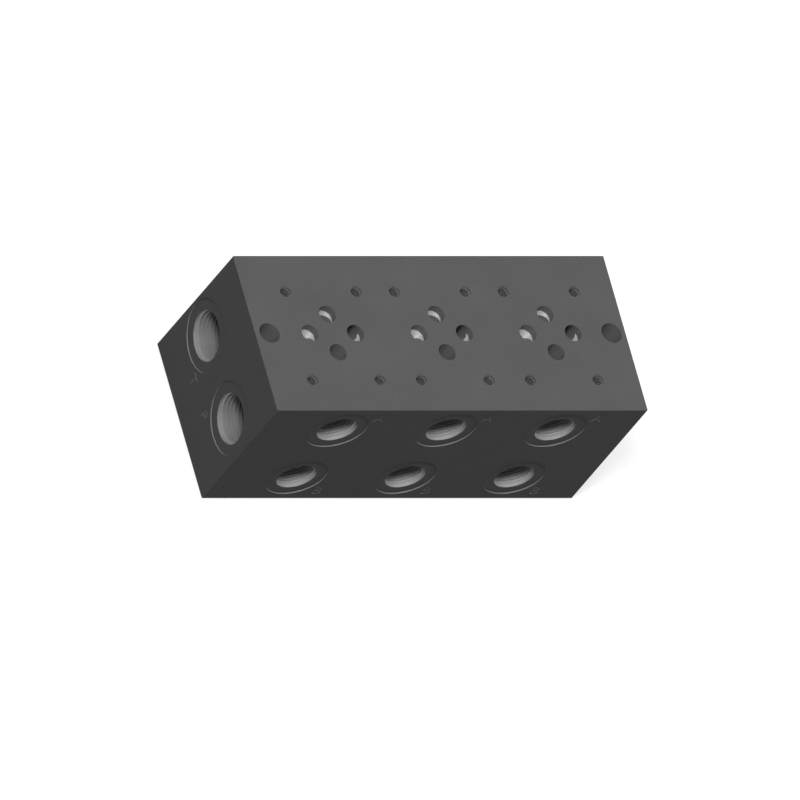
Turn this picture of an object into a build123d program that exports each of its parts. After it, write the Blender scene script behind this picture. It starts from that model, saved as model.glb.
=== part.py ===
from build123d import *
import os
from math import radians, tan

# Parallel-circuit manifold block that carries a row of size 6 directional valves on its top face.
# P and T run the whole length as two galleries with a port at each end.
# Each station's A and B lead to two work ports in the front face.
# Frame: X along the block, -Y is the front, +Z up. The origin is the middle of the mounting face.
# All sizes are in millimetres.

# --- stations and block
station_count = 3
station_pitch = 50.0
left_land = 35.5  # left end to the first station's centre
right_land = 34.5  # last station's centre to the right end
block_depth = 71.0
block_height = 70.0
edge_break = 0.25  # chamfer on the outer edges

# --- valve interface of each station, the ISO 4401-03 pattern, with P and T on the block's middle line
front_screw_setback = 21.5  # front screw row to the line through P and T
screw_row_gap = 40.5  # front screw row to rear screw row
front_screw_spacing = 31.0
rear_screw_spacing = 32.5
a_from_front_row = 12.7
b_from_front_row = 30.2
p_to_t = 20.8
valve_port_diameter = 7.5
screw_hole_diameter = 5.0  # M5, at its thread's major diameter
screw_hole_depth = 14.0

# --- galleries and their end ports, G1/2
gallery_spacing = 38.0
gallery_diameter = 14.0
end_thread_diameter = 20.955
end_core_diameter = 19.0
end_spot_diameter = 30.0
end_thread_depth = 14.5
end_core_depth = 17.5

# --- work ports, G3/8
work_port_inset = 16.3  # A below the valve face, and B above the mounting face
work_thread_diameter = 16.662
work_core_diameter = 15.25
work_spot_diameter = 25.5
work_thread_depth = 12.5
work_core_depth = 15.0
spot_depth = 0.5

# --- drillings inside
starter_depth = 3.75  # straight start of P, T and B, before the angled drilling
angled_drill_diameter = 6.5
cross_drill_diameter = 7.5
drill_point_angle = 118.0

# --- holes that bolt the block down
mounting_hole_diameter = 9.0
mounting_hole_inset = 6.5  # from each end

# --- derived places
block_length = (station_count - 1) * station_pitch + left_land + right_land
left_x = -block_length / 2
right_x = block_length / 2
front_y = -block_depth / 2
station_xs = [left_x + left_land + n * station_pitch for n in range(station_count)]
front_row_y = -front_screw_setback
rear_row_y = front_row_y + screw_row_gap
a_y = front_row_y + a_from_front_row
b_y = front_row_y + b_from_front_row
p_gallery_y = -gallery_spacing / 2
t_gallery_y = gallery_spacing / 2
gallery_z = block_height / 2
a_port_z = block_height - work_port_inset
b_port_z = work_port_inset
overrun = 1.0  # how far a cutter stands out of the face that it enters


def drill_point(diameter):
    """Length of the cone that a drill leaves beyond its full bore."""
    return diameter / 2 / tan(radians(drill_point_angle / 2))


def turned(*outline):
    """Solid of revolution about Z from (radius, height) points, closed along the axis."""
    return revolve(make_face(Plane.XZ * Polyline(*outline, close=True)), Axis.Z)


def entering(mouth, outward):
    """Placement of a cutter that runs down its own -Z from a mouth, where outward leaves the metal."""
    return Plane(origin=mouth, z_dir=outward).location


def blind_hole(diameter, depth):
    """Hole that ends in a drill point."""
    r = diameter / 2
    return turned((0, overrun), (r, overrun), (r, -depth), (0, -depth - drill_point(diameter)))


def tapped_hole(thread, core, thread_depth, core_depth):
    """Tapped hole, at its thread's major diameter, over the rest of its core drilling."""
    return turned(
        (0, overrun),
        (thread / 2, overrun),
        (thread / 2, -thread_depth),
        (core / 2, -thread_depth),
        (core / 2, -core_depth),
        (0, -core_depth - drill_point(core)),
    )


def port(mouth, outward, spot, *thread_sizes):
    """Tapped port in the floor of a shallow spotface. Its depths are measured from that floor."""
    seat = entering(mouth, outward) * Pos(0, 0, -spot_depth)
    relief = Cylinder(spot / 2, spot_depth + overrun, align=(Align.CENTER, Align.CENTER, Align.MIN))
    return [seat * relief, seat * tapped_hole(*thread_sizes)]


def drilling(start, target, diameter):
    """Drilling that starts in another hole and ends with its full bore at the target."""
    run = Vector(*target) - Vector(*start)
    r = diameter / 2
    bit = turned((0, 0), (r, 0), (r, -run.length), (0, -run.length - drill_point(diameter)))
    return entering(start, -run) * bit


def work_port(x, z, meets_y):
    """Work port in the front face, with its cross drilling on to the valve port's own drilling."""
    thread = (work_spot_diameter, work_thread_diameter, work_core_diameter, work_thread_depth, work_core_depth)
    cross = drilling((x, front_y + work_thread_depth, z), (x, meets_y, z), cross_drill_diameter)
    return port((x, front_y, z), (0, -1, 0), *thread) + [cross]


def station(x):
    """Everything that one valve needs: its screws, its four ports and the drillings under them."""
    top = Pos(x, 0, block_height)
    p_mouth = (x - p_to_t / 2, 0, block_height)
    t_mouth = (x + p_to_t / 2, 0, block_height)
    b_mouth = (x, b_y, block_height)

    # B passes midway between the two galleries on its way down to its work port
    b_lean = b_y / (block_height - gallery_z)
    b_foot = (x, b_y - b_lean * (block_height - b_port_z), b_port_z)

    cuts = [top * Pos(0, a_y, 0) * blind_hole(valve_port_diameter, block_height - a_port_z)]
    for mouth in (p_mouth, t_mouth, b_mouth):
        cuts.append(Pos(*mouth) * blind_hole(valve_port_diameter, starter_depth))
    cuts.append(drilling(p_mouth, (p_mouth[0], p_gallery_y, gallery_z), angled_drill_diameter))
    cuts.append(drilling(t_mouth, (t_mouth[0], t_gallery_y, gallery_z), angled_drill_diameter))
    cuts.append(drilling(b_mouth, b_foot, angled_drill_diameter))

    for row_y, spacing in ((front_row_y, front_screw_spacing), (rear_row_y, rear_screw_spacing)):
        for side in (-1, 1):
            cuts.append(top * Pos(side * spacing / 2, row_y, 0) * blind_hole(screw_hole_diameter, screw_hole_depth))

    cuts += work_port(x, a_port_z, a_y)
    cuts += work_port(x, b_port_z, b_foot[1])
    return cuts


def gallery(y):
    """Bore along the whole block with a port at each end."""
    thread = (end_spot_diameter, end_thread_diameter, end_core_diameter, end_thread_depth, end_core_depth)
    bore = Pos(0, y, gallery_z) * Rot(0, 90, 0) * Cylinder(gallery_diameter / 2, block_length)
    left = port((left_x, y, gallery_z), (-1, 0, 0), *thread)
    right = port((right_x, y, gallery_z), (1, 0, 0), *thread)
    return [bore] + left + right


cuts = gallery(p_gallery_y) + gallery(t_gallery_y)
for station_x in station_xs:
    cuts += station(station_x)
for hole_x in (left_x + mounting_hole_inset, right_x - mounting_hole_inset):
    cuts.append(Pos(hole_x, 0, block_height / 2) * Cylinder(mounting_hole_diameter / 2, block_height))

bar = Pos(0, 0, block_height / 2) * Box(block_length, block_depth, block_height)
block = chamfer(bar.edges(), edge_break) - cuts

os.makedirs("parts", exist_ok=True)
export_step(block, "parts/manifold_block.step")
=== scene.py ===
# %% [markdown]
# # A hydraulic manifold block
# The real object is one bar of cast iron, sawn and milled square, then drilled from every side.
# Three valves bolt to its top, oil comes in through the threaded ports at its ends and goes out
# through those on its front. The drilled shape comes from the CAD model; this lesson dresses it:
# threads in the ports, letters beside them, and the look of phosphated, milled and drilled iron.

# %% Load the frame
from math import pi, radians

import bpy
from mathutils import Matrix, Vector


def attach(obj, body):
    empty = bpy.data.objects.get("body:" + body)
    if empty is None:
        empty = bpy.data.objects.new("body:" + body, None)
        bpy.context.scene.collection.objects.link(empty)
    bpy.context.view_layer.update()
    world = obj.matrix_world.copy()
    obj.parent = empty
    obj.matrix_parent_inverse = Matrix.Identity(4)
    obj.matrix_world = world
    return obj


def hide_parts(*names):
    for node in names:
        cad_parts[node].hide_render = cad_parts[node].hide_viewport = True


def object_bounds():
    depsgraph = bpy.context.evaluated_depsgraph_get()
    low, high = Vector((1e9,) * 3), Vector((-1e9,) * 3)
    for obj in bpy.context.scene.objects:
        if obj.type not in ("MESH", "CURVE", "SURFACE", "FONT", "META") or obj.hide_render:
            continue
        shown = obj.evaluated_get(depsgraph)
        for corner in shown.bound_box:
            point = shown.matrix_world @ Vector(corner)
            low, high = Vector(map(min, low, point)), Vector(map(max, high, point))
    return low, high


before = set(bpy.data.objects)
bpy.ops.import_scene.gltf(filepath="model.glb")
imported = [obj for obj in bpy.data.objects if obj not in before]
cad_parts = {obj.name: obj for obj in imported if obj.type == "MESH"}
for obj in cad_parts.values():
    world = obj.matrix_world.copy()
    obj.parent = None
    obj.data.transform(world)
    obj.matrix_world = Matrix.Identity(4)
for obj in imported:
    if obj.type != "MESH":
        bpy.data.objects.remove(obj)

cad_low, cad_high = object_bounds()
block_centre = (cad_low + cad_high) / 2

# %% [markdown]
# ## The camera
# A parallel camera keeps the block's opposite edges parallel, as on a drawing of a machined part.
# It looks down at the top from the front left. A camera could be turned by angles or pointed at an
# empty; here its three axes are written out, so that the long edges lie level in the view.

# %% Camera
CAMERA_RIGHT = Vector((0.8660, -0.2500, 0.4330))
CAMERA_UP = Vector((0.0, 0.8660, 0.5000))
CAMERA_BACK = CAMERA_RIGHT.cross(CAMERA_UP).normalized()
CAMERA_DISTANCE = 0.8
VIEW_WIDTH = 0.318
AIM_LEFT = 0.00100
AIM_DOWN = 0.00915

aim = block_centre - AIM_LEFT * CAMERA_RIGHT - AIM_DOWN * CAMERA_UP
camera_data = bpy.data.cameras.new("camera")
camera_data.type = "ORTHO"
camera_data.ortho_scale = VIEW_WIDTH
camera = bpy.data.objects.new("camera", camera_data)
bpy.context.scene.collection.objects.link(camera)
axes = Matrix((CAMERA_RIGHT, CAMERA_UP, CAMERA_BACK)).transposed().to_4x4()
camera.matrix_world = Matrix.Translation(aim + CAMERA_BACK * CAMERA_DISTANCE) @ axes
bpy.context.scene.camera = camera
print("camera at", tuple(round(v, 3) for v in camera.location))

# %% [markdown]
# ## Lamps
# A dark coated block shows its form by how each face is turned to the light. Area lamps would
# fade along it, so two far lamps are used, which light a flat face evenly. One stands high at the
# front left and reaches into the ports. A broader one hangs overhead and lifts the top.

# %% Two far lamps
LAMP_DISTANCE = 0.6


def sun_lamp(name, direction, softness, strength):
    """A far lamp whose light comes from the given direction; softness is its width in degrees."""
    data = bpy.data.lights.new(name, "SUN")
    data.angle = radians(softness)
    data.energy = strength
    lamp = bpy.data.objects.new(name, data)
    bpy.context.scene.collection.objects.link(lamp)
    back = Vector(direction).normalized()
    lamp.location = block_centre + back * LAMP_DISTANCE
    lamp.rotation_euler = back.to_track_quat("Z", "Y").to_euler()
    return lamp


sun_lamp("key_lamp", (-0.461, -0.230, 0.857), softness=12.0, strength=1.91)
sun_lamp("top_lamp", (0.0, 0.0, 1.0), softness=40.0, strength=1.67)

# %% [markdown]
# ## The world
# The block stands in front of plain white. A world that bright would also light the block from
# all round and wash out its form. So the white is kept for the rays that look at something, and
# the rays that carry light find only a little of it.

# %% White to look at, little light to give
WHITE = (1.0, 1.0, 1.0, 1.0)
SOFT_LIGHT_STRENGTH = 0.08


def looking_rays(tree):
    """One for rays that look at a thing: from the camera, off a glossy surface or through glass."""
    path = tree.nodes.new("ShaderNodeLightPath")
    seen_by = path.outputs["Is Camera Ray"]
    for kind in ("Is Glossy Ray", "Is Transmission Ray"):
        either = tree.nodes.new("ShaderNodeMath")
        either.operation = "MAXIMUM"
        tree.links.new(seen_by, either.inputs[0])
        tree.links.new(path.outputs[kind], either.inputs[1])
        seen_by = either.outputs[0]
    return seen_by


world = bpy.data.worlds.new("studio")
bpy.context.scene.world = world
world.use_nodes = True
sky = world.node_tree
sky.nodes.clear()
soft_light = sky.nodes.new("ShaderNodeBackground")
soft_light.inputs["Color"].default_value = WHITE
soft_light.inputs["Strength"].default_value = SOFT_LIGHT_STRENGTH
white_seen = sky.nodes.new("ShaderNodeBackground")
white_seen.inputs["Color"].default_value = WHITE
white_seen.inputs["Strength"].default_value = 1.0
sky_choice = sky.nodes.new("ShaderNodeMixShader")
sky_out = sky.nodes.new("ShaderNodeOutputWorld")
sky.links.new(looking_rays(sky), sky_choice.inputs["Fac"])
sky.links.new(soft_light.outputs["Background"], sky_choice.inputs[1])
sky.links.new(white_seen.outputs["Background"], sky_choice.inputs[2])
sky.links.new(sky_choice.outputs["Shader"], sky_out.inputs["Surface"])

bpy.context.scene.view_settings.view_transform = "Standard"
print("world:", world.name, "with", len(sky.nodes), "nodes")

# %% [markdown]
# ## The floor
# The floor is plain and pale. What is seen of it is mostly its own white, with a share of real lit
# surface that the block's shadow still darkens. To the rays that carry light it is a dull grey, so
# that it doesn't light the dark sides of the block from below. From underneath it is clear.

# %% Floor plane
FLOOR_SIZE = 6.0
FLOOR_GAP = 0.0002

bpy.ops.object.select_all(action="DESELECT")
bpy.ops.mesh.primitive_plane_add(size=FLOOR_SIZE, location=(0.0, 0.0, cad_low.z - FLOOR_GAP))
floor = bpy.context.object
floor.name = "studio_floor"
print("floor at z =", round(1000 * floor.location.z, 2), "mm")

# %% Floor paint
FLOOR_OWN_WHITE = 0.6


def grey(level):
    """A colour with no hue."""
    return (level, level, level, 1.0)


floor_paint = bpy.data.materials.new("floor_paint")
floor_paint.use_nodes = True
tree = floor_paint.node_tree
tree.nodes.clear()
lit = tree.nodes.new("ShaderNodeBsdfDiffuse")
lit.inputs["Color"].default_value = grey(0.45)
own = tree.nodes.new("ShaderNodeEmission")
own.inputs["Color"].default_value = WHITE
own.inputs["Strength"].default_value = FLOOR_OWN_WHITE
seen = tree.nodes.new("ShaderNodeAddShader")
dull = tree.nodes.new("ShaderNodeBsdfDiffuse")
dull.inputs["Color"].default_value = grey(0.10)
by_ray = tree.nodes.new("ShaderNodeMixShader")
clear = tree.nodes.new("ShaderNodeBsdfTransparent")
geometry = tree.nodes.new("ShaderNodeNewGeometry")
by_side = tree.nodes.new("ShaderNodeMixShader")
out = tree.nodes.new("ShaderNodeOutputMaterial")
tree.links.new(lit.outputs["BSDF"], seen.inputs[0])
tree.links.new(own.outputs["Emission"], seen.inputs[1])
tree.links.new(looking_rays(tree), by_ray.inputs["Fac"])
tree.links.new(dull.outputs["BSDF"], by_ray.inputs[1])
tree.links.new(seen.outputs["Shader"], by_ray.inputs[2])
tree.links.new(geometry.outputs["Backfacing"], by_side.inputs["Fac"])
tree.links.new(by_ray.outputs["Shader"], by_side.inputs[1])
tree.links.new(clear.outputs["BSDF"], by_side.inputs[2])
tree.links.new(by_side.outputs["Shader"], out.inputs["Surface"])
floor.data.materials.append(floor_paint)
print("floor paint:", len(tree.nodes), "nodes")

# %% [markdown]
# ## The block
# The drilled bar itself is the CAD node. A node's mesh is loose triangles, so the work is done on
# a copy: its doubled vertices are merged, and then the drilled walls can be shaded smooth while
# the milled faces stay flat and every edge stays crisp. The normals that came with the triangles
# are dropped too, because they wouldn't fit any more once letters are cut into the faces.

# %% Copy and merge
MERGE_DISTANCE = 0.000002

cad_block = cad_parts["manifold_block"]
block = cad_block.copy()
block.data = cad_block.data.copy()
block.name = "drilled_block"
block.parent = None
bpy.context.scene.collection.objects.link(block)


def only(piece):
    """Leaves one object selected and active."""
    bpy.ops.object.select_all(action="DESELECT")
    piece.select_set(True)
    bpy.context.view_layer.objects.active = piece


only(block)
bpy.ops.object.mode_set(mode="EDIT")
bpy.ops.mesh.select_all(action="SELECT")
bpy.ops.mesh.remove_doubles(threshold=MERGE_DISTANCE)
bpy.ops.object.mode_set(mode="OBJECT")
bpy.ops.mesh.customdata_custom_splitnormals_clear()
bpy.ops.object.shade_flat()
print("merged block:", len(block.data.vertices), "vertices,", len(block.data.polygons), "faces")

# %% [markdown]
# ## Port letters
# Each port of a manifold is marked, because a hose on the wrong one sends the oil backwards: P for
# the pump, T for the tank, A and B for the two sides of the cylinder. They could be painted on
# with a texture, but real ones are engraved and catch the light. So text is typed, made a mesh,
# laid on the face and cut a quarter of a millimetre into the block with a boolean.
#
# Letters and threads are both made lying flat and looking up, so each side of the block has a turn
# that makes them look out of it. On the two ends, a letter has a turn of its own to read upright.

# %% A turn for each side
FACE_OUT = {
    "top": Matrix.Identity(3),
    "front": Matrix.Rotation(radians(90), 3, "X"),
    "left": Matrix.Rotation(radians(-90), 3, "Y"),
    "right": Matrix.Rotation(radians(90), 3, "Y"),
}
READ_LEFT = Matrix.Rotation(radians(-90), 3, "Z") @ FACE_OUT["front"]
READ_RIGHT = Matrix.Rotation(radians(90), 3, "Z") @ FACE_OUT["front"]
print("turned sides:", list(FACE_OUT))

# %% Letters as cutters
STATION_X = (-0.0495, 0.0005, 0.0505)
LETTER_HEIGHT = 0.0053
LETTER_DEPTH = 0.00025
LETTER_THINNED = 0.00010  # how far the outline of a stroke is drawn in
CAPITAL_SHARE = 0.69  # a capital's height as a share of the font's size
WORK_LETTER_RIGHT = 0.0145  # from its station's middle
WORK_LETTERS = {"A": 0.0630, "B": 0.0060}  # the height of each one's middle
END_LETTERS = (  # the letter, its end, its turn, and the y and z of its middle
    ("T", cad_low.x, READ_LEFT, 0.0085, 0.0178),
    ("P", cad_low.x, READ_LEFT, -0.0079, 0.0180),
    ("T", cad_high.x, READ_RIGHT, 0.0085, 0.0178),
    ("P", cad_high.x, READ_RIGHT, -0.0085, 0.0178),
)


def letter_cutter(character, middle, turn):
    """One capital with its middle in a face, turned to lie in that face."""
    bpy.ops.object.select_all(action="DESELECT")
    bpy.ops.object.text_add()
    text = bpy.context.object
    text.data.body = character
    text.data.align_x = "CENTER"
    text.data.align_y = "CENTER"
    text.data.size = LETTER_HEIGHT / CAPITAL_SHARE
    text.data.extrude = LETTER_DEPTH
    text.data.offset = -LETTER_THINNED
    bpy.ops.object.convert(target="MESH")
    cutter = bpy.context.object
    cutter.matrix_world = Matrix.Translation(middle) @ turn.to_4x4()
    bpy.ops.object.transform_apply(location=True, rotation=True, scale=True)
    return cutter


cutters = []
for x in STATION_X:
    for character, z in WORK_LETTERS.items():
        middle = (x + WORK_LETTER_RIGHT, cad_low.y, z)
        cutters.append(letter_cutter(character, middle, FACE_OUT["front"]))
for character, x, turn, y, z in END_LETTERS:
    cutters.append(letter_cutter(character, (x, y, z), turn))
print("letters:", len(cutters))

# %% Engrave
SMOOTH_BELOW = radians(30)

for cutter in cutters:
    only(block)
    cut = block.modifiers.new("engraving", "BOOLEAN")
    cut.operation = "DIFFERENCE"
    cut.solver = "EXACT"
    cut.object = cutter
    bpy.ops.object.modifier_apply(modifier=cut.name)
    bpy.data.objects.remove(cutter)

only(block)
bpy.ops.object.shade_smooth_by_angle(angle=SMOOTH_BELOW)
print("engraved block:", len(block.data.vertices), "vertices")

# %% [markdown]
# ## Threads
# A tap leaves one helical ridge on the wall of a hole. The half-inch pipe thread has a pitch of
# 1.814 mm, the three-eighths one 1.337 mm, and the screw holes for the valves 0.8 mm. A bump
# pattern would look flat at the mouth of a port, where the ridge is seen from the side, so it is
# real: a small trapezium swept along a helix by the Screw modifier. Its base is sunk a little into
# the wall, so that no gap shows. It grows out of the wall over the first third of a turn and dies
# away over the last third, as the tapered teeth of a tap leave it.
#
# A sweep can come out inside out. So the volume that a ridge encloses is measured, and where it is
# less than nothing, the faces are turned round.

# %% Is a mesh inside out?
def enclosed_volume(mesh):
    """Volume inside a closed mesh in cubic metres, below zero where its faces point inwards."""
    mesh.calc_loop_triangles()
    points = mesh.vertices
    total = 0.0
    for triangle in mesh.loop_triangles:
        first, second, third = (points[i].co for i in triangle.vertices)
        total += first.dot(second.cross(third)) / 6
    return total


print("metal of the block:", round(1e6 * enclosed_volume(block.data), 1), "cm3")

# %% The ridge's profile
WALL_BITE = 0.00006  # how far the base is sunk in the wall
BASE_SHARE = 0.86  # the base as a share of the pitch
FLANK_SLOPE = 0.52  # how far a flank leans for each unit of height


def ridge_profile(wall_radius, crest_radius, pitch):
    """The trapezium's four corners as radius and height, in the order of a new plane's vertices."""
    base = pitch * BASE_SHARE
    crest = base - 2 * FLANK_SLOPE * (wall_radius - crest_radius)
    root_radius = wall_radius + WALL_BITE
    return (
        (root_radius, -base),
        (crest_radius, -(base + crest) / 2),
        (root_radius, 0.0),
        (crest_radius, -(base - crest) / 2),
    )


# %% The ridge's two ends
FADE_TURN = 1 / 3


def fade_ends(mesh, wall_radius, steps):
    """Lets the ridge grow out of the wall at its start and back into it at its end."""
    root_radius = wall_radius + WALL_BITE
    fading_steps = steps * FADE_TURN
    last_step = len(mesh.vertices) // 4 - 1
    for index, vertex in enumerate(mesh.vertices):
        from_end = min(index // 4, last_step - index // 4)
        now = Vector(vertex.co.xy).length
        if from_end < fading_steps and now < wall_radius:
            wanted = root_radius + (now - root_radius) * (from_end / fading_steps)
            vertex.co.xy = vertex.co.xy * (wanted / now)


# %% Sweep one ridge
RIDGE_MERGE_DISTANCE = 0.000001
RIDGE_SMOOTH_BELOW = radians(25)


def thread_ridge(name, wall_radius, crest_radius, pitch, length, steps):
    """A right-hand internal thread round the Z axis, from z = 0 down to z = -length."""
    turns = int(length / pitch - BASE_SHARE)
    bpy.ops.object.select_all(action="DESELECT")
    bpy.ops.mesh.primitive_plane_add(size=1.0)
    ridge = bpy.context.object
    ridge.name = name
    profile = ridge_profile(wall_radius, crest_radius, pitch)
    for vertex, (radius, z) in zip(ridge.data.vertices, profile):
        vertex.co = (radius, 0.0, z)
    bpy.ops.object.mode_set(mode="EDIT")
    bpy.ops.mesh.select_all(action="SELECT")
    bpy.ops.mesh.delete(type="ONLY_FACE")
    bpy.ops.object.mode_set(mode="OBJECT")
    sweep = ridge.modifiers.new("helix", "SCREW")
    sweep.axis = "Z"
    sweep.screw_offset = -pitch
    sweep.iterations = turns
    sweep.steps = steps
    sweep.render_steps = steps
    sweep.use_smooth_shade = False
    bpy.ops.object.modifier_apply(modifier=sweep.name)
    fade_ends(ridge.data, wall_radius, steps)
    bpy.ops.object.mode_set(mode="EDIT")
    bpy.ops.mesh.select_all(action="SELECT")
    bpy.ops.mesh.remove_doubles(threshold=RIDGE_MERGE_DISTANCE)
    bpy.ops.mesh.fill_holes(sides=4)
    bpy.ops.mesh.select_all(action="SELECT")
    bpy.ops.mesh.normals_make_consistent(inside=False)
    bpy.ops.object.mode_set(mode="OBJECT")
    if enclosed_volume(ridge.data) < 0:
        bpy.ops.object.mode_set(mode="EDIT")
        bpy.ops.mesh.flip_normals()
        bpy.ops.object.mode_set(mode="OBJECT")
    bpy.ops.object.shade_smooth_by_angle(angle=RIDGE_SMOOTH_BELOW)
    volume = round(1e9 * enclosed_volume(ridge.data), 1)
    print(name, turns, "turns,", len(ridge.data.polygons), "faces,", volume, "mm3 of metal")
    return ridge


# %% Put a ridge in its holes
def tap(ridge, name, mouths):
    """Puts a copy of the ridge in each mouth, joins them under the name and drops the pattern."""
    bpy.ops.object.select_all(action="DESELECT")
    for middle, side in mouths:
        copy = ridge.copy()
        copy.data = ridge.data.copy()
        copy.data.transform(Matrix.Translation(middle) @ FACE_OUT[side].to_4x4())
        bpy.context.scene.collection.objects.link(copy)
        copy.select_set(True)
        bpy.context.view_layer.objects.active = copy
    bpy.data.objects.remove(ridge)
    bpy.ops.object.join()
    threads = bpy.context.object
    threads.name = name
    print(name, "in", len(mouths), "holes,", len(threads.data.polygons), "faces")
    return threads


# %% Tap the end ports
SPOT_DEPTH = 0.0005
FIRST_TURN = 0.0003  # how far under the spotface a thread starts
GALLERY_Y = 0.019
GALLERY_Z = 0.035
HALF_INCH_PIPE = {"wall_radius": 0.0104775, "crest_radius": 0.0095, "pitch": 0.001814}

left_mouth = cad_low.x + SPOT_DEPTH + FIRST_TURN
right_mouth = cad_high.x - SPOT_DEPTH - FIRST_TURN
end_mouths = [((left_mouth, y, GALLERY_Z), "left") for y in (-GALLERY_Y, GALLERY_Y)]
end_mouths += [((right_mouth, y, GALLERY_Z), "right") for y in (-GALLERY_Y, GALLERY_Y)]
end_ridge = thread_ridge("end_ridge", **HALF_INCH_PIPE, length=0.0142, steps=48)
end_threads = tap(end_ridge, "end_port_threads", end_mouths)

# %% Tap the work ports
A_PORT_Z = 0.0537
B_PORT_Z = 0.0163
THREE_EIGHTHS_PIPE = {"wall_radius": 0.008331, "crest_radius": 0.007625, "pitch": 0.001337}

front_mouth = cad_low.y + SPOT_DEPTH + FIRST_TURN
work_mouths = [((x, front_mouth, z), "front") for x in STATION_X for z in (A_PORT_Z, B_PORT_Z)]
work_ridge = thread_ridge("work_ridge", **THREE_EIGHTHS_PIPE, length=0.0122, steps=40)
work_threads = tap(work_ridge, "work_port_threads", work_mouths)

# %% Tap the valve screw holes
SCREW_ROWS = ((-0.0215, 0.0310), (0.0190, 0.0325))  # each row's y and the gap between its holes
SCREW_FIRST_TURN = 0.0002  # how far under the top a thread starts
VALVE_SCREW = {"wall_radius": 0.0025, "crest_radius": 0.0021, "pitch": 0.0008}

screw_mouths = []
for x in STATION_X:
    for y, gap in SCREW_ROWS:
        for side in (-0.5, 0.5):
            screw_mouths.append(((x + side * gap, y, cad_high.z - SCREW_FIRST_TURN), "top"))
screw_ridge = thread_ridge("screw_ridge", **VALVE_SCREW, length=0.0115, steps=20)
screw_threads = tap(screw_ridge, "valve_screw_threads", screw_mouths)

# %% [markdown]
# ## Which surface is which
# One tool made each kind of surface, and each left its own marks: a face mill on the six sides,
# a spot facer round the ports, an engraver in the letters, a drill or a boring bar in the holes,
# and a drill's tip at the bottom of them. Faces could be painted by hand, but there are thousands
# of them. So each goes to the tool that cut it by rule, from where it lies and which way it looks.

# %% The surfaces and where they lie
SURFACES = (
    "milled_top",
    "milled_front",
    "milled_end",
    "broken_edge",
    "engraved",
    "spot_faced_end",
    "spot_faced_front",
    "spot_facer_wall",
    "bored_along_x",
    "bored_along_y",
    "bored_along_z",
    "drill_point",
)
END_SPOT_RADIUS = 0.0150
WORK_SPOT_RADIUS = 0.01275
END_BORE_REACH = 0.0110
WORK_BORE_REACH = 0.0088
gallery_axes = [Vector((0, y, GALLERY_Z)) for y in (-GALLERY_Y, GALLERY_Y)]
work_axes = [Vector((x, 0, z)) for x in STATION_X for z in (A_PORT_Z, B_PORT_Z)]
print(len(SURFACES), "surfaces,", len(gallery_axes), "gallery axes,", len(work_axes), "port axes")

# %% Which tool cut this face?
ON_THE_FACE = 0.00005
SHALLOW = 0.0003  # reaches the floor of a letter and the far side of a broken edge
SPOT_REACH = 0.0006  # reaches the floor of a spotface
NEAR_THE_RING = 0.0003
SEAT_LOOKS_OUT = 0.999  # the share of a seat's normal that lies along the port
WALL_LOOKS_IN = 0.02  # the share of a wall's normal that lies along the bore
POINT_LOOKS_UP = 0.7


def radius_from(point, across, centres):
    """Distance of a point from the nearest of several axes, measured in two directions."""
    return min(
        sum((point[i] - centre[i]) ** 2 for i in across) ** 0.5 for centre in centres
    )


def surface_of(point, normal):
    """The name of the surface that a face belongs to."""
    depths = [min(point[i] - cad_low[i], cad_high[i] - point[i]) for i in range(3)]
    nearest = depths.index(min(depths))
    from_gallery = radius_from(point, (1, 2), gallery_axes)
    from_work = radius_from(point, (0, 2), work_axes)
    on_end_ring = nearest == 0 and abs(from_gallery - END_SPOT_RADIUS) < NEAR_THE_RING
    on_work_ring = nearest == 1 and abs(from_work - WORK_SPOT_RADIUS) < NEAR_THE_RING
    if sum(depth < SHALLOW for depth in depths) >= 2:
        return "broken_edge"
    if depths[nearest] < SPOT_REACH and (on_end_ring or on_work_ring):
        return "spot_facer_wall"
    if ON_THE_FACE < depths[nearest] < SHALLOW:
        return "engraved"
    if depths[nearest] < SHALLOW:
        return ("milled_end", "milled_front", "milled_top")[nearest]
    if depths[0] < SPOT_REACH and abs(normal.x) > SEAT_LOOKS_OUT:
        return "spot_faced_end"
    if depths[1] < SPOT_REACH and abs(normal.y) > SEAT_LOOKS_OUT:
        return "spot_faced_front"
    if from_gallery < END_BORE_REACH and abs(normal.x) < WALL_LOOKS_IN:
        return "bored_along_x"
    if from_work < WORK_BORE_REACH and abs(normal.y) < WALL_LOOKS_IN:
        return "bored_along_y"
    if normal.z > POINT_LOOKS_UP:
        return "drill_point"
    return "bored_along_z"


# %% Sort the faces
block.data.materials.clear()
counts = dict.fromkeys(SURFACES, 0)
for face in block.data.polygons:
    name = surface_of(face.center, face.normal)
    face.material_index = SURFACES.index(name)
    counts[name] += 1
print(counts)

# %% [markdown]
# ## Finishes as node groups
# The effects are built once, as shader node groups with named sockets, and each material sets them
# to suit its own surface. Writing every node out again for each material would be long and easy to
# get wrong. A few small helpers keep the wiring short.

# %% Wiring helpers
def wire(tree, value, socket):
    """Links an output to a socket, or sets the socket to a plain value."""
    if isinstance(value, bpy.types.NodeSocket):
        tree.links.new(value, socket)
    else:
        socket.default_value = value


def add(tree, kind, **values):
    """A node of a kind; values named like its attributes or its input sockets are set on it."""
    node = tree.nodes.new(kind)
    for key, value in values.items():
        if hasattr(node, key):
            setattr(node, key, value)
        else:
            wire(tree, value, node.inputs[key.replace("_", " ")])
    return node


def maths(tree, operation, *values):
    """The output of a Math node."""
    node = tree.nodes.new("ShaderNodeMath")
    node.operation = operation
    for value, socket in zip(values, node.inputs):
        wire(tree, value, socket)
    return node.outputs[0]


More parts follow.
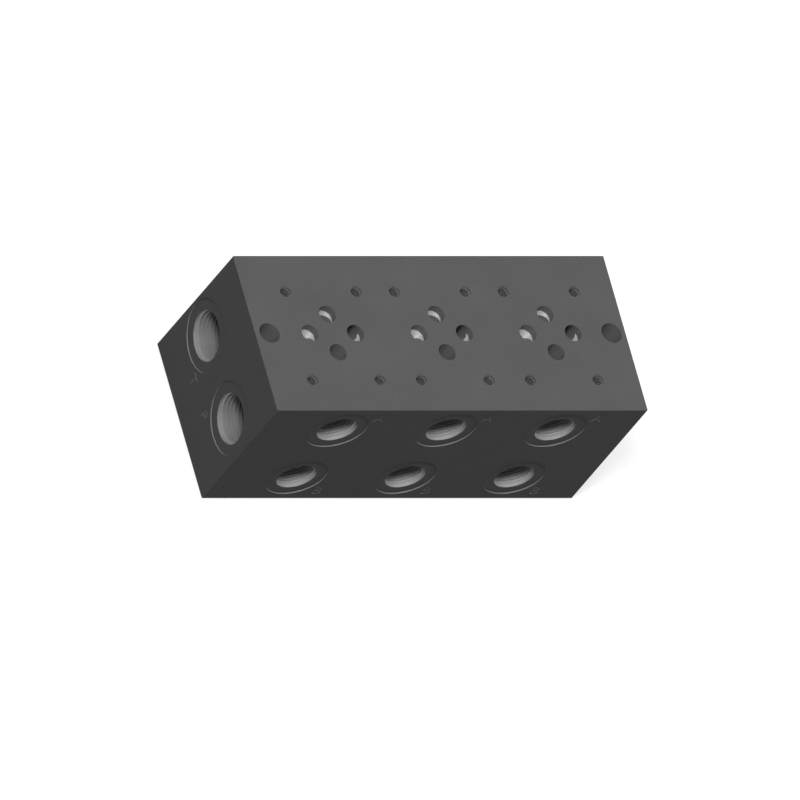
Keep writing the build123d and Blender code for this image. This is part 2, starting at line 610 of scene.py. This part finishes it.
# %% Start a group
def new_group(name, inputs, outputs):
    """A new node group: its tree, the values it is given and the sockets for its results."""
    tree = bpy.data.node_groups.new(name, "ShaderNodeTree")
    for socket, kind, value in inputs:
        made = tree.interface.new_socket(socket, in_out="INPUT", socket_type=kind)
        if value is not None:
            made.default_value = value
    for socket, kind in outputs:
        tree.interface.new_socket(socket, in_out="OUTPUT", socket_type=kind)
    given = tree.nodes.new("NodeGroupInput").outputs
    result = tree.nodes.new("NodeGroupOutput").inputs
    return tree, given, result


# %% [markdown]
# ### Phosphate coat
# Phosphating grows a skin of tiny grey-black crystals on the iron. It is never quite even: there is
# a fine grain of crystals, and wide faint clouds where the bath took more or less. Two noises of
# very different size, added together, give both.

# %% The coat group
GRAIN_SHARE = 0.55
CLOUD_SHARE = 0.45

coat, given, result = new_group(
    "phosphate_coat",
    [
        ("Vector", "NodeSocketVector", None),
        ("Light", "NodeSocketColor", grey(0.12)),
        ("Dark", "NodeSocketColor", grey(0.08)),
        ("Grain Scale", "NodeSocketFloat", 1400.0),
        ("Cloud Scale", "NodeSocketFloat", 45.0),
        ("Roughness", "NodeSocketFloat", 0.5),
        ("Spread", "NodeSocketFloat", 0.08),
    ],
    [("Color", "NodeSocketColor"), ("Roughness", "NodeSocketFloat"), ("Height", "NodeSocketFloat")],
)
grain = add(coat, "ShaderNodeTexNoise", Vector=given["Vector"], Scale=given["Grain Scale"])
grain.inputs["Detail"].default_value = 3.0
cloud = add(coat, "ShaderNodeTexNoise", Vector=given["Vector"], Scale=given["Cloud Scale"])
cloud.inputs["Detail"].default_value = 5.0
cloud.inputs["Roughness"].default_value = 0.6
both = maths(coat, "ADD", maths(coat, "MULTIPLY", grain.outputs["Fac"], GRAIN_SHARE),
             maths(coat, "MULTIPLY", cloud.outputs["Fac"], CLOUD_SHARE))
tone = add(coat, "ShaderNodeMapRange", Value=both, From_Min=0.32, From_Max=0.68)
mixed = add(coat, "ShaderNodeMix", data_type="RGBA")
coat.links.new(tone.outputs["Result"], mixed.inputs[0])
coat.links.new(given["Dark"], mixed.inputs[6])
coat.links.new(given["Light"], mixed.inputs[7])
swing = maths(coat, "SUBTRACT", tone.outputs["Result"], 0.5)
rough = maths(coat, "MULTIPLY_ADD", swing, given["Spread"], given["Roughness"])
coat.links.new(mixed.outputs[2], result["Color"])
coat.links.new(rough, result["Roughness"])
coat.links.new(grain.outputs["Fac"], result["Height"])
print("group", coat.name, len(coat.nodes), "nodes")

# %% [markdown]
# ### Rings and arcs
# Every round tool leaves rings. Seen end on they are circles about the tool's axis, as the spot
# facer leaves them; far from the axis they are the long flat arcs of a face mill. A wave texture
# has only one centre, so the same group makes both with a little arithmetic: it measures the
# distance to the nearest of a row of axes and waves with it.

# %% The ring group
PATCH_SCALE = 160.0

rings, given, result = new_group(
    "tool_rings",
    [
        ("Across", "NodeSocketFloat", 0.0),
        ("Up", "NodeSocketFloat", 0.0),
        ("Centre Across", "NodeSocketFloat", 0.0),
        ("Centre Up", "NodeSocketFloat", 0.0),
        ("Pitch Across", "NodeSocketFloat", 1.0),
        ("Pitch Up", "NodeSocketFloat", 1.0),
        ("Feed", "NodeSocketFloat", 0.001),
        ("Vector", "NodeSocketVector", None),
        ("Patchiness", "NodeSocketFloat", 0.5),
    ],
    [("Height", "NodeSocketFloat")],
)
squares = []
for way in ("Across", "Up"):
    offset = maths(rings, "SUBTRACT", given[way], given["Centre " + way])
    half = maths(rings, "MULTIPLY", given["Pitch " + way], 0.5)
    wrapped = maths(rings, "WRAP", offset, half, maths(rings, "MULTIPLY", half, -1.0))
    squares.append(maths(rings, "MULTIPLY", wrapped, wrapped))
radius = maths(rings, "SQRT", maths(rings, "ADD", squares[0], squares[1]))
turned = maths(rings, "MULTIPLY", maths(rings, "DIVIDE", radius, given["Feed"]), 2 * pi)
wave = maths(rings, "MULTIPLY_ADD", maths(rings, "SINE", turned), 0.5, 0.5)
patch = add(rings, "ShaderNodeTexNoise", Vector=given["Vector"], Scale=PATCH_SCALE)
patch.inputs["Detail"].default_value = 2.0
patchy = maths(rings, "MULTIPLY", patch.outputs["Fac"], given["Patchiness"])
fading = maths(rings, "SUBTRACT", 1.0, patchy)
rings.links.new(maths(rings, "MULTIPLY", wave, fading), result["Height"])
print("group", rings.name, len(rings.nodes), "nodes")

# %% [markdown]
# ### Feed marks in a bore
# A drill or boring bar moves forward a little at each turn, so the wall of a hole has fine rings
# across its length. They are far too fine to be modelled, so they are a wave that runs with the
# distance along the axis and feeds the bump. A noise breaks it up where chips rubbed.

# %% The bore group
RUB_SCALE = 420.0

feed, given, result = new_group(
    "bore_feed",
    [
        ("Along", "NodeSocketFloat", 0.0),
        ("Feed", "NodeSocketFloat", 0.0006),
        ("Vector", "NodeSocketVector", None),
    ],
    [("Height", "NodeSocketFloat")],
)
turned = maths(feed, "MULTIPLY", maths(feed, "DIVIDE", given["Along"], given["Feed"]), 2 * pi)
wave = maths(feed, "MULTIPLY_ADD", maths(feed, "SINE", turned), 0.5, 0.5)
rub = add(feed, "ShaderNodeTexNoise", Vector=given["Vector"], Scale=RUB_SCALE)
rub.inputs["Detail"].default_value = 4.0
feed.links.new(maths(feed, "MULTIPLY", wave, rub.outputs["Fac"]), result["Height"])
print("group", feed.name, len(feed.nodes), "nodes")

# %% [markdown]
# ## Materials
# All of the block is one iron under one coat. The coat's crystals scatter the light, so it is
# matt. With the shader's usual specular level a white room would lay a pale haze over every face,
# and roughness alone wouldn't take it away, so the level is turned down to almost nothing. The
# holes, drill points, spotface walls and letters are given a paler grey than the milled outside:
# that paleness is painted highlight, for the light their walls catch where they face the lamp.
# In the holes a little of the bare metal shows through.

# %% Start and end of every material
COAT_SHEEN = 0.02


def iron_material(name, metallic):
    """A material, its tree, its principled shader, the object coordinates and their three parts."""
    material = bpy.data.materials.new(name)
    material.use_nodes = True
    tree = material.node_tree
    skin = tree.nodes["Principled BSDF"]
    skin.inputs["Metallic"].default_value = metallic
    skin.inputs["Specular IOR Level"].default_value = COAT_SHEEN
    where = tree.nodes.new("ShaderNodeTexCoord").outputs["Object"]
    parts = tree.nodes.new("ShaderNodeSeparateXYZ")
    tree.links.new(where, parts.inputs["Vector"])
    return material, tree, skin, where, parts.outputs


def place_group(tree, group, **values):
    """A node group placed in a material, with its sockets set by name. Returns its outputs."""
    node = tree.nodes.new("ShaderNodeGroup")
    node.node_tree = group
    for key, value in values.items():
        wire(tree, value, node.inputs[key.replace("_", " ")])
    return node.outputs


def dress(tree, skin, skinned, height, depth):
    """Wires the coat's colour and roughness to the shader, and marks of a depth in metres."""
    tree.links.new(skinned["Color"], skin.inputs["Base Color"])
    tree.links.new(skinned["Roughness"], skin.inputs["Roughness"])
    node = tree.nodes.new("ShaderNodeBump")
    node.inputs["Distance"].default_value = depth
    tree.links.new(height, node.inputs["Height"])
    tree.links.new(node.outputs["Normal"], skin.inputs["Normal"])


# %% [markdown]
# ### The milled outside
# A face mill wider than the bar leaves flat arcs whose centre is far outside it. The marks are
# about ten micrometres deep, so they show only where light grazes the face. The six sides could
# share one material, but the arcs lie in the plane of the side, so each direction has its own.

# %% Milled outside
MILL_FEED = 0.0017
OUTSIDE_MARKS = 0.00001


def milled_iron(name, across, up, mill_centre):
    """Coated iron with the arcs of a face mill, lying in the plane of two axes."""
    material, tree, skin, where, axis = iron_material(name, 0.0)
    skinned = place_group(tree, coat, Vector=where, Light=grey(0.108), Dark=grey(0.090),
                          Roughness=0.5, Spread=0.1)
    arcs = place_group(tree, rings, Across=axis[across], Up=axis[up],
                       Centre_Across=mill_centre[0], Centre_Up=mill_centre[1],
                       Feed=MILL_FEED, Vector=where, Patchiness=0.9)
    height = maths(tree, "ADD", maths(tree, "MULTIPLY", skinned["Height"], 0.5),
                   maths(tree, "MULTIPLY", arcs["Height"], 0.5))
    dress(tree, skin, skinned, height, OUTSIDE_MARKS)
    return material


milled = [
    milled_iron("milled_top", "X", "Y", mill_centre=(0.31, -0.22)),
    milled_iron("milled_front", "X", "Z", mill_centre=(0.33, 0.12)),
    milled_iron("milled_end", "Y", "Z", mill_centre=(0.18, -0.12)),
]
print([material.name for material in milled])

# %% [markdown]
# ### The spotfaces
# A spot facer cuts a shallow round seat at each port, square to its axis, for the fitting's seal.
# Its rings lie about the port. Each port could have a material with its own centre, but ports
# stand in even rows: the ring group is given the first one's place and the gap to the next, and
# one material serves a whole side.

# %% Spotfaces
SPOT_FACER_FEED = 0.0009


def spot_faced_iron(name, across, up, centre, pitch):
    """Coated iron with rings about each port."""
    material, tree, skin, where, axis = iron_material(name, 0.0)
    skinned = place_group(tree, coat, Vector=where, Light=grey(0.110), Dark=grey(0.092),
                          Roughness=0.45, Spread=0.1)
    circles = place_group(tree, rings, Across=axis[across], Up=axis[up],
                          Centre_Across=centre[0], Centre_Up=centre[1],
                          Pitch_Across=pitch[0], Pitch_Up=pitch[1],
                          Feed=SPOT_FACER_FEED, Vector=where, Patchiness=0.4)
    height = maths(tree, "ADD", maths(tree, "MULTIPLY", skinned["Height"], 0.3),
                   maths(tree, "MULTIPLY", circles["Height"], 0.7))
    dress(tree, skin, skinned, height, OUTSIDE_MARKS)
    return material


end_port_pitch = (2 * GALLERY_Y, 1.0)
work_port_pitch = (STATION_X[1] - STATION_X[0], A_PORT_Z - B_PORT_Z)
spot_faced = [
    spot_faced_iron("spot_faced_end", "Y", "Z", (GALLERY_Y, GALLERY_Z), end_port_pitch),
    spot_faced_iron("spot_faced_front", "X", "Z", (STATION_X[0], A_PORT_Z), work_port_pitch),
]
print([material.name for material in spot_faced])

# %% [markdown]
# ### Holes, letters and edges
# Everything small was cut by the point or the rim of a tool. It has the same coat with a finer
# grain, and feed marks along one axis. The finishes differ in how pale a grey they are given, how
# much bare metal there is in them, and how rough they are, so one function makes them all from
# these. The broken edges are a shade paler than the outside. The paler greys of the letters, the
# spotface walls, the bores and the drill points are painted highlight, stronger in the front
# ports than in the end ports.

# %% Holes, letters and edges
BORE_GRAIN = 2200.0
BORE_MARKS = 0.00002
EDGE = {"light": 0.12, "dark": 0.10, "metallic": 0.0, "roughness": 0.45}
# The letters' paler grey is painted highlight, for the lit walls of the thin strokes.
LETTER_PAINTED_HIGHLIGHT = {"light": 0.25, "dark": 0.19, "metallic": 0.0, "roughness": 0.50}
# The spotface walls' paler grey is painted highlight, for the lit rim round each seat.
SPOT_WALL_PAINTED_HIGHLIGHT = {"light": 0.28, "dark": 0.22, "metallic": 0.2, "roughness": 0.50}
# The port bores' paler greys are painted highlight, stronger in the front ports than the end ports.
END_PORT_PAINTED_HIGHLIGHT = {"light": 0.35, "dark": 0.28, "metallic": 0.2, "roughness": 0.55}
WORK_PORT_PAINTED_HIGHLIGHT = {"light": 0.44, "dark": 0.36, "metallic": 0.2, "roughness": 0.55}
# The drilled walls' paler grey is painted highlight as well.
DRILLED_PAINTED_HIGHLIGHT = {"light": 0.23, "dark": 0.19, "metallic": 0.2, "roughness": 0.55}
# The drill points' pale grey is painted highlight, where each cone faces the lamp.
POINT_PAINTED_HIGHLIGHT = {"light": 0.36, "dark": 0.30, "metallic": 0.2, "roughness": 0.50}


def bored_iron(name, along, light, dark, metallic, roughness):
    """Iron cut by a drill, a boring bar or a tap, with feed marks along one axis."""
    material, tree, skin, where, axis = iron_material(name, metallic)
    skinned = place_group(tree, coat, Vector=where, Light=grey(light), Dark=grey(dark),
                          Grain_Scale=BORE_GRAIN, Roughness=roughness, Spread=0.12)
    marks = place_group(tree, feed, Along=axis[along], Vector=where)
    dress(tree, skin, skinned, marks["Height"], BORE_MARKS)
    return material


small_cuts = [
    bored_iron("broken_edge", "X", **EDGE),
    bored_iron("engraved", "Z", **LETTER_PAINTED_HIGHLIGHT),
    bored_iron("spot_facer_wall", "Z", **SPOT_WALL_PAINTED_HIGHLIGHT),
    bored_iron("bored_along_x", "X", **END_PORT_PAINTED_HIGHLIGHT),
    bored_iron("bored_along_y", "Y", **WORK_PORT_PAINTED_HIGHLIGHT),
    bored_iron("bored_along_z", "Z", **DRILLED_PAINTED_HIGHLIGHT),
    bored_iron("drill_point", "Z", **POINT_PAINTED_HIGHLIGHT),
]
print([material.name for material in small_cuts])

# %% [markdown]
# ### Give each piece its finish
# The block takes its materials in the order in which its faces were sorted. A pipe thread has the
# finish of the port it stands in, with the same painted highlight, and the small screw threads are
# darker than both: painted shade for their small deep holes.

# %% Give each piece its finish
# The screw threads' darker grey is painted shade, for their small deep holes.
SCREW_THREAD_PAINTED_SHADE = {"light": 0.14, "dark": 0.10, "metallic": 0.1, "roughness": 0.55}

finishes = {material.name: material for material in milled + spot_faced + small_cuts}
for name in SURFACES:
    block.data.materials.append(finishes[name])
end_threads.data.materials.append(bored_iron("tapped_end_port", "X", **END_PORT_PAINTED_HIGHLIGHT))
work_threads.data.materials.append(bored_iron("tapped_work_port", "Y", **WORK_PORT_PAINTED_HIGHLIGHT))
screw_threads.data.materials.append(bored_iron("tapped_screw_hole", "Z", **SCREW_THREAD_PAINTED_SHADE))
print("materials of the block:", [material.name for material in block.data.materials])

# %% [markdown]
# ## The one body
# Everything belongs to the one rigid body. The dressed block stands for the CAD node, which is
# hidden.

# %% Ride and replace
for piece in (block, end_threads, work_threads, screw_threads):
    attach(piece, "root")
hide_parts("manifold_block")
